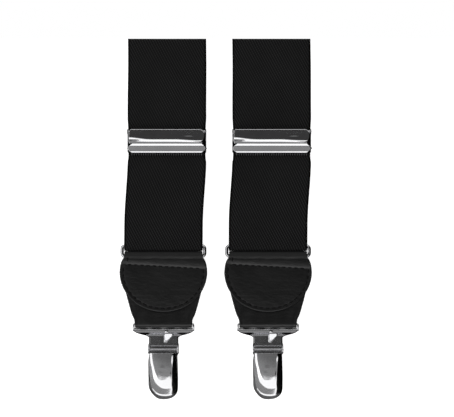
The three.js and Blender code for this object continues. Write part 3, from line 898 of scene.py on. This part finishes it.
def tilted(keys, start):
    """A height over y, from its slope: keys are (y, degrees that the surface leans towards +Y), from the top down."""
    ys = np.array([y for y, _ in keys])
    fine = np.linspace(ys[0], ys[-1], 1200)
    lean = np.interp(-fine, -ys, [degrees for _, degrees in keys])
    rise = np.r_[0, np.cumsum(np.tan(np.radians((lean[1:] + lean[:-1]) / 2)) * -np.diff(fine))]
    return lambda y: start + np.interp(-np.asarray(y, float), -fine, rise)


def make_adjuster_plate(material, tooth_material):
    """A pressed plate with two long ridges, a curl round its hinge pin and a toothed lower edge."""
    curl = 1.15
    under = PLATE_PIN_Z - curl
    profile = tilted([(6.42, 84), (6.32, 76), (6.24, 62), (6.19, 48), (6.16, 12), (5.7, 8), (5.1, 6.5), (3.2, 6),
                      (2.0, 4), (1.4, -2), (1.28, -15), (1.2, -22), (0.4, -27), (0.3, -24), (0.2, -11), (-0.45, -9),
                      (-0.6, 8), (-0.72, 20), (-1.62, 23), (-1.75, 12), (-1.9, -7), (-4.3, -9), (-4.4, -18),
                      (-4.98, -33), (-5.04, -50), (-5.4, -72)], PLATE_PIN_Z)
    upper_half, lower_half = 18.55, 19.0

    def right_edge(y):
        if y > 0.05:
            over = min(1.0, abs(y - 3.25) / 3.2)
            return upper_half - 3.0 * (1 - math.sqrt(1 - over ** 2.6))
        if y > -0.6:
            return 17.6
        return lower_half + 0.4 - 2.4 * min(1.0, abs(y + 2.85) / 2.5) ** 1.15

    def left_edge(y):
        if y > 0.05:
            over = min(1.0, max(0.0, y - 3.6) / 2.85)
            return -(upper_half - 1.4 * (1 - math.sqrt(1 - over ** 2)))
        if y > -0.6:
            return -18.3
        return -(lower_half - 2.6 * min(1.0, abs(y + 2.95) / 2.5) ** 1.8)

    def swell_across(y):
        """A low swelling: it rises slowly from the upper edge and falls faster towards the lower."""
        return ease(np.interp(y, [2.3, 3.6, 5.7], [0, 1, 0]))

    def top(x, y, edge):
        right = np.array([right_edge(v) for v in y]) - x
        left = x - np.array([left_edge(v) for v in y])
        thicker = 1.1 * np.clip((-x - 7) / 10, 0, 1) ** 1.6 * np.exp(-((y - 1.7) / 1.0) ** 2)
        thinner = 0.5 * np.clip((x - 5) / 9, 0, 1) * np.exp(-((y - 0.9) / 0.7) ** 2)
        swell = 0.14 * np.exp(-((x - 10.8) / 4.4) ** 2) * swell_across(y)
        sway = 0.02 * np.sin(x / 3.1) * np.exp(-((y - 3.2) / 1.6) ** 2)
        ends = chamfer(right, 0.5, 55) + chamfer(left, 0.35, 55)
        return profile(y - thicker + thinner) - ends + swell + sway

    def bottom(x, y, edge):
        nose = np.clip((y - PLATE_HINGE) / curl, 0, 1)
        return under + curl * (1 - np.sqrt(1 - 0.999 * nose ** 2)) + rounding(edge, 0.2)
    rows = np.r_[np.linspace(-5.4, -4.2, 16)[:-1], np.linspace(-4.2, -2.1, 10)[:-1],
                 np.linspace(-2.1, 1.6, 56)[:-1], np.linspace(1.6, 5.6, 24)[:-1], np.linspace(5.6, 6.42, 12)]
    body = plate("adjuster_plate", rows, lambda y: (right_edge(y) - left_edge(y)) / 2, 97, top, bottom, material,
                 middle=lambda y: (right_edge(y) + left_edge(y)) / 2)
    teeth = [rod("tooth", [(x, -4.9, under + 0.3), (x, -5.8, under), (x, -6.35, under - 0.2)], 0.2, tooth_material,
                 sides=8) for x in np.linspace(-16.8, 16.8, 31)]
    return body, merge(*teeth)


def make_adjuster_frame(material):
    """Two cheeks that stand at the webbing's edges, a base plate between them and a bar behind."""
    half, low, nose, floor_z, rim = 18.8, -4.9, 6.3, 1.35, 5.6
    outline = ([(low, rim), (low, 3.0), (low + 0.5, 1.9), (low + 1.8, floor_z), (5.0, floor_z), (6.1, 1.8),
                (nose, 2.8)] + bar_arc(PLATE_HINGE, PLATE_PIN_Z, 1.15, 0, 180) + [(4.15, rim)])
    base = plate("base", np.linspace(low, 0.8, 8), lambda y: half, 12, lambda x, y, edge: 4.4 - rounding(edge, 0.2),
                 lambda x, y, edge: 3.7 + rounding(edge, 0.2), material)
    bar = rod("bar", [(-half, *BACK_BAR), (half, *BACK_BAR)], 0.6, material)
    return merge(*(cheek(x, outline, 0.15, material) for x in (-half - 0.05, half + 0.05)), base, bar)


def make_adjuster_pin(material):
    line = [(x, PLATE_HINGE, PLATE_PIN_Z) for x in (-19.12, -19.0, 19.0, 19.12)]
    return rod("adjuster_pin", line, 0.55, material, sides=14)


# ---------------------------------------------------------------- clip

def make_clip_body(material):
    """Loop, plate, neck and back jaw in one sheet, with two ears for the hinge pin."""
    thickness = 1.0
    slot_edge = CLIP_BAR - 2.0
    keys = [(1.2, 1.0), (22.5, 1.0), (25.4, 1.83), (30.9, 1.4), (31.5, 1.45), (32.55, 2.8), (33.1, 2.86),
            (slot_edge, 2.88)]
    ys, zs = np.array(keys).T
    half_width = smooth_function([
        (1.2, 0.6), (1.6, 3.0), (2.6, 4.8), (4.6, 6.1), (7, 6.6), (21.2, 6.6), (22.2, 7.3), (26.6, 7.35),
        (27.6, 7.1), (29.9, 7.1), (30.8, 8.2), (31.4, 10.5), (32.0, 12.4), (32.7, 13.8), (33.6, 14.7),
        (slot_edge, 14.8)])
    rows = np.unique(np.r_[crowded(1.2, 6, 10), np.linspace(6, 22.5, 12), np.linspace(22.5, 25.4, 6),
                           np.linspace(25.4, 30.9, 34), np.linspace(30.9, 31.5, 6), np.linspace(31.5, 32.55, 12),
                           np.linspace(32.55, 33.1, 5), np.linspace(33.1, slot_edge - 0.6, 5),
                           np.linspace(slot_edge - 0.6, slot_edge, 5)].round(4))

    def emboss(x, y):
        """A round pip on the plate, and a sloping gusset that stiffens the neck."""
        pip = 0.3 * bell(x, y, (1.45, 33.0), math.sqrt(0.2))
        slope = 1.55 + (y - 27.3) * 0.36 - np.interp(y, ys, zs)
        right = 1.5 + 3.1 * np.clip((y - 27.6) / 3.6, 0, 1)
        inside = np.clip((x - 0.3) / 0.3, 0, 1) * np.clip((right - x) / 0.3, 0, 1)
        return pip + np.maximum(0, slope) * inside * (y < 32)

    def top(x, y, edge):
        return np.interp(y, ys, zs) - chamfer(edge, 0.5, 55) + emboss(x, y)

    def bottom(x, y, edge):
        return np.interp(y, ys, zs) - thickness + rounding(edge, 0.2)
    sheet = plate("clip_body", rows, half_width, 121, top, bottom, material, sharp=24)
    inner, corner = 14.5, 0.7
    loop_line = ([(-inner, slot_edge - 1.4, RING_Z), (-inner, CLIP_BAR - 0.9, RING_Z)]
                 + [(-inner + corner - corner * math.cos(a), CLIP_BAR - corner + corner * math.sin(a), RING_Z)
                    for a in np.linspace(0.2, math.pi / 2, 5)])
    loop = rod("loop", loop_line + [(-x, y, z) for x, y, z in loop_line[::-1]], 0.42, material)
    return merge(sheet, loop, ear(-7.15, material), ear(7.15, material))


def cheek(x, outline, half, material):
    """A thin upright sheet with a rounded rim, drawn as (y, z)."""
    outline = np.array(refine(outline + outline[:1], 0.8)[:-1])
    centre = outline.mean(axis=0)
    layers = [(-1, 0.9), (-1, 0.94), (-0.7, 0.988), (0.0, 1.0), (0.7, 0.988), (1, 0.94), (1, 0.9)]
    verts = []
    for out, scale in layers:
        verts += [(x + out * half, y, z) for y, z in centre + (outline - centre) * scale]
    return new_object("cheek", verts, tube_faces(len(layers), len(outline)), material, sharp=50)


def ear(x, material):
    """One upright cheek of the clip's hinge."""
    outline = ([(CLIP_PIN + 2.3, 0.7), (CLIP_PIN + 2.0, 3.2)]
               + bar_arc(CLIP_PIN, CLIP_PIN_Z, 1.85, 0, 180) + [(CLIP_PIN - 2.05, 3.0), (CLIP_PIN - 2.05, 0.7)])
    return cheek(x, outline, 0.26, material)


# The lever's face is drawn by five lines, each from its upper left, round the tip, to its upper right: (x, y, z).
LEVER_LINES = [
    # round the flat tongue
    [(-5.5, 22.75, 6.72), (-5.1, 19, 6.74), (-4.35, 15.3, 6.7), (-3.5, 12.2, 6.6), (-2.2, 10.0, 6.45),
     (-0.1, 9.1, 6.33), (1.9, 10.2, 6.6), (3.1, 12.2, 6.98), (3.75, 15.3, 7.1), (3.9, 19, 7.08), (4.1, 22.75, 6.95)],
    # the foot of its shoulder
    [(-6.3, 22.75, 6.35), (-6.2, 19, 6.28), (-5.35, 15.3, 6.25), (-4.8, 12.0, 6.0), (-3.9, 9.0, 5.65), (-0.6, 6.0, 5.3),
     (3.6, 6.1, 5.3), (3.95, 8.4, 6.05), (4.2, 13.0, 6.98), (4.6, 19.4, 7.3), (4.6, 22.75, 7.0)],
    # the outer side of the sill
    [(-6.5, 22.75, 6.28), (-6.95, 19, 6.15), (-6.85, 15.3, 5.98), (-6.6, 11.4, 5.66), (-5.3, 5.6, 5.22),
     (-2.0, 2.95, 5.0), (3.1, 2.75, 4.68), (5.85, 5.4, 4.3), (6.5, 9.5, 4.8), (6.5, 16, 5.75), (6.4, 22.75, 5.85)],
    # the brow of the rim
    [(-6.6, 22.75, 6.0), (-7.1, 19, 5.9), (-7.05, 15.3, 5.65), (-6.85, 11.2, 5.3), (-5.8, 5.3, 4.72),
     (-2.15, 2.45, 4.76), (3.3, 2.25, 4.42), (6.2, 4.85, 4.05), (6.75, 9.3, 4.4), (6.7, 16, 5.4), (6.55, 22.75, 5.5)],
    # the edge
    [(-6.7, 22.75, 5.6), (-7.25, 19, 5.5), (-7.25, 15.3, 5.25), (-7.2, 11, 4.8), (-6.75, 5.2, 3.8), (-2.7, 0.72, 3.35),
     (3.3, 0.72, 3.35), (6.6, 3.6, 3.4), (7.05, 9.2, 4.2), (6.95, 16, 5.0), (6.7, 22.75, 5.1)],
]


def curve_through(points, count):
    """That many points, evenly spread by length, on a smooth curve through the given ones (Catmull-Rom)."""
    points = np.array(points, float)
    padded = np.vstack([2 * points[0] - points[1], points, 2 * points[-1] - points[-2]])
    fine = []
    for i in range(len(points) - 1):
        p0, p1, p2, p3 = padded[i:i + 4]
        for t in np.linspace(0, 1, 24, endpoint=False):
            fine.append(0.5 * (2 * p1 + (p2 - p0) * t + (2 * p0 - 5 * p1 + 4 * p2 - p3) * t * t
                               + (3 * p1 - p0 - 3 * p2 + p3) * t ** 3))
    fine.append(points[-1])
    share = np.linspace(0, len(fine) - 1, count)
    fine = np.array(fine)
    return np.column_stack([np.interp(share, np.arange(len(fine)), fine[:, k]) for k in range(fine.shape[1])])


def make_clip_lever(material):
    """A pressed lever, lofted over its lines: a flat tongue, a sloping shoulder, a sill, a rolled rim and a skirt."""
    count, columns, foot = 97, 13, 3.2
    half = count // 2
    lines = [curve_through(points, count) for points in LEVER_LINES]
    rim = lines[-1]

    def at_height(line, z):
        return np.column_stack([line[:, :2], np.broadcast_to(z, count)])
    ceiling = at_height(lines[2], lines[3][:, 2] - 0.9)
    loft = [inner + (outer - inner) * t
            for inner, outer in zip(lines, lines[1:]) for t in (0, 0.12, 0.3, 0.5, 0.7, 0.88)]
    loft += [rim, at_height(rim, foot + 0.12), at_height(rim * (0.985, 1, 1) + (0, 0.1, 0), foot),
             at_height(rim * (0.9, 1, 1) + (0, 0.6, 0), foot), ceiling]
    verts = np.vstack(loft)
    faces = grid_faces(len(loft), count)
    # The tongue's inside, and the hollow below, are filled from left to right.
    share = np.linspace(0, 1, columns)[1:-1]
    top_rows = []
    for line, offset, below in ((lines[0], 0, False), (ceiling, (len(loft) - 1) * count, True)):
        rows, extra = [], []
        for i in range(half):
            points = line[i] + np.outer(share, line[count - 1 - i] - line[i])
            if not below:
                x, y, _ = points.T
                dent = bell(x, y, (-1.5, 12.6), 1.3, 1.7) + 0.5 * bell(x, y, (-0.6, 15.6), 0.8, 0.9)
                points[:, 2] += (0.2 * share * (1 - share) + 0.13 * dent) * min(1.0, (half - i) / 8)
            first = len(verts) + i * len(share)
            rows.append([offset + i, *range(first, first + len(share)), offset + count - 1 - i])
            extra.append(points)
        verts = np.vstack([verts, *extra])
        fill = [(upper[k], upper[k + 1], lower[k + 1], lower[k])
                for upper, lower in zip(rows, rows[1:]) for k in range(columns - 1)]
        fill += [(rows[-1][k], rows[-1][k + 1], offset + half) for k in range(columns - 1)]
        faces += [face[::-1] if below else face for face in fill]
        top_rows.append(rows[0][1:-1])
    # The upper end is closed across both ends of every line.
    top_left = [k * count for k in range(len(loft))]
    top_right = [k + count - 1 for k in top_left]
    faces.append(tuple(top_left[::-1] + top_rows[0] + top_right + top_rows[1][::-1]))
    return merge(new_object("clip_lever", verts, faces, material, sharp=35), make_knuckle(material))


def make_knuckle(material):
    """The lever's curl round the hinge pin: a thin bead between two creases, above a round barrel."""
    reach = 6.55
    profile = np.array([(1.75, 4.8), (0.42, 5.1), (0.34, 6.0), (0.26, 6.12), (-0.3, 6.14), (-0.4, 6.02), (-0.5, 5.0),
                        (-1.62, 5.28), (-1.9, 4.2)] + bar_arc(0, CLIP_PIN_Z, 1.9, 190, 372, 11))
    layers = [(-reach, 0.9), (-reach, 0.985), (-reach + 0.2, 1.0), (reach - 0.2, 1.0), (reach, 0.985), (reach, 0.9)]
    centre = np.array([0.0, CLIP_PIN_Z])
    verts = []
    for x, scale in layers:
        verts += [(x, CLIP_PIN + y, z) for y, z in centre + (profile - centre) * scale]
    return new_object("knuckle", verts, tube_faces(len(layers), len(profile)), material, sharp=40)


# ---------------------------------------------------------------- Y patch

PATCH_EDGE = smooth_function([(PATCH_LOW - 1, 39.0), (PATCH_LOW + 2, 41.0), (PATCH_LOW + 6, 41.5), (735, 37.5),
                              (755, 31.0), (775, 24.8), (PATCH_HIGH - 4, 22.5), (PATCH_HIGH, 20.0)])


def make_patch(name, lowest, material, thread, face_down):
    """One leather of the Y patch, with a seam round its edge."""
    highest, inset, straight = lowest + OUTER_LEATHER, 2.4, 785

    def lift(x, y):
        """The lower edge dips towards its two corners."""
        return np.clip((PATCH_LOW + 30 - y) / 30, 0, 1) * 7.5 * np.clip(1 - (np.abs(x) / 38.0) ** 2, 0, 1)

    def relief(edge):
        return np.minimum(0.12 * (1 - np.exp(-(edge / 4.0) ** 2)) - groove(edge, inset, 0.5, 0.25), 0)

    def top(x, y, edge):
        return highest - rounding(edge, 0.42) + (0 if face_down else relief(edge))

    def bottom(x, y, edge):
        return lowest + rounding(edge, 0.42) - (relief(edge) if face_down else 0)

    def place(verts):
        x, y, z = verts.T
        return np.column_stack([x, y + lift(x, y), z])
    rows = np.r_[crowded(PATCH_LOW - 1, PATCH_LOW + 12, 16)[:-1], np.linspace(PATCH_LOW + 12, straight, 60)[:-1],
                 crowded(straight, PATCH_HIGH, 14)]
    leather = plate(name, rows, PATCH_EDGE, 71, top, bottom, material, place)
    right = [(PATCH_EDGE(y) - inset, y + float(lift(PATCH_EDGE(y) - inset, y)))
             for y in np.linspace(PATCH_LOW + 2.2, PATCH_HIGH - inset, 60)]
    left = [(-x, y) for x, y in right[::-1]]
    low_row = [(x, PATCH_LOW + 1.6 + float(lift(x, PATCH_LOW))) for x in np.linspace(-38.4, 38.4, 40)]
    face = lowest + 0.16 if face_down else highest - 0.1
    seam = stitches(f"{name}_stitches", [right, left, low_row, [right[-1], left[0]]], lambda x, y: face, thread,
                    pitch=3.2, length=2.4, radius=0.24)
    return leather, seam


# ---------------------------------------------------------------- the whole set

camera = look_from_above()
floor = add_stage_object("floor", [(x, y, -0.0003) for x, y in ((-4, -4), (4, -4), (4, 4), (-4, 4))], floor_material())
floor.visible_glossy = False  # the metal mirrors dark surroundings below, as over a dark table
crop_card(camera, card_material())
light_the_studio()

webbing = webbing_material()
tab_leather = leather_material("tab_leather")
patch_leather = leather_material("patch_leather", 0.46)
adjuster_chrome = plated_material("adjuster_chrome", 0.82, 0.1)
clip_nickel = plated_material("clip_nickel", 0.78, 0.12, 0.12)
ring_nickel = plated_material("ring_wire", 0.75, 0.15)
inner_steel = satin_steel_material()
# Dark steel for the adjuster's teeth and frame. On the teeth, which are chrome like the plate, the dark tone is painted
# shade, standing in for the shade they lie in below the plate's lower edge.
painted_shade_steel = plated_material("dark_steel_painted_shade", 0.16, 0.3)
grip_plastic = pad_material()
black_thread = thread_material()

for name, node in frame["nodes"].items():
    node.data.materials.clear()
    node.data.materials.append(grip_plastic if name.endswith("_pad") else inner_steel)

for side in FRONT_SIDES:
    make_front_strap(side, webbing)
    make_strap_loop(side, webbing)
make_back_strap(webbing)

# each original with its body, the name of its copies, their slot and the CAD node that they replace
end_unit = [
    (make_ring(ring_nickel), "ring", "ring_wire", "ring_wire", "ring"),
    (make_outer_tab(tab_leather), "tab", "tab_flap", "tab_leather", "tab_outer_leather"),
    (make_inner_tab(tab_leather), "tab", "tab_tongue", "tab_leather", "tab_inner_leather"),
    (make_tab_stitches(black_thread), "tab", "tab_stitches", "tab_leather"),
    (make_clip_body(clip_nickel), "clip", "clip_plate", "clip_nickel", "clip_body"),
    (make_clip_lever(clip_nickel), "lever", "clip_handle", "clip_nickel", "clip_lever"),
]
adjuster_front, adjuster_teeth = make_adjuster_plate(adjuster_chrome, painted_shade_steel)
adjuster = [
    (adjuster_front, "adjuster_lock", "adjuster_front_metal", "adjuster_chrome", "adjuster_plate"),
    (adjuster_teeth, "adjuster_lock", "adjuster_teeth_metal", "adjuster_chrome"),
    (make_adjuster_frame(painted_shade_steel), "adjuster", "adjuster_frame_metal", "inner_steel", "adjuster_frame"),
    (make_adjuster_pin(inner_steel), "adjuster", "adjuster_pin_metal", "inner_steel", "adjuster_pin"),
]
for side in SIDES:
    place_copies(end_unit, side, end_matrix(side))
for side in FRONT_SIDES:
    place_copies(adjuster, side, Matrix.Translation((STRAP_X[side], tip("left").y + ADJUSTER * MM, 0)))
for original, *_ in end_unit + adjuster:
    bpy.data.objects.remove(original)

patch_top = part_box("patch_front_leather")[0].z / MM
for name, lowest, face_down in (("patch_front", patch_top, False), ("patch_back", 0.0, True)):
    for obj in make_patch(name, lowest, patch_leather, black_thread, face_down):
        obj.location = (tip("back").x, tip("left").y, 0)
        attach(obj, "root")
        if not obj.name.endswith("stitches"):
            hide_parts(f"{name}_leather")
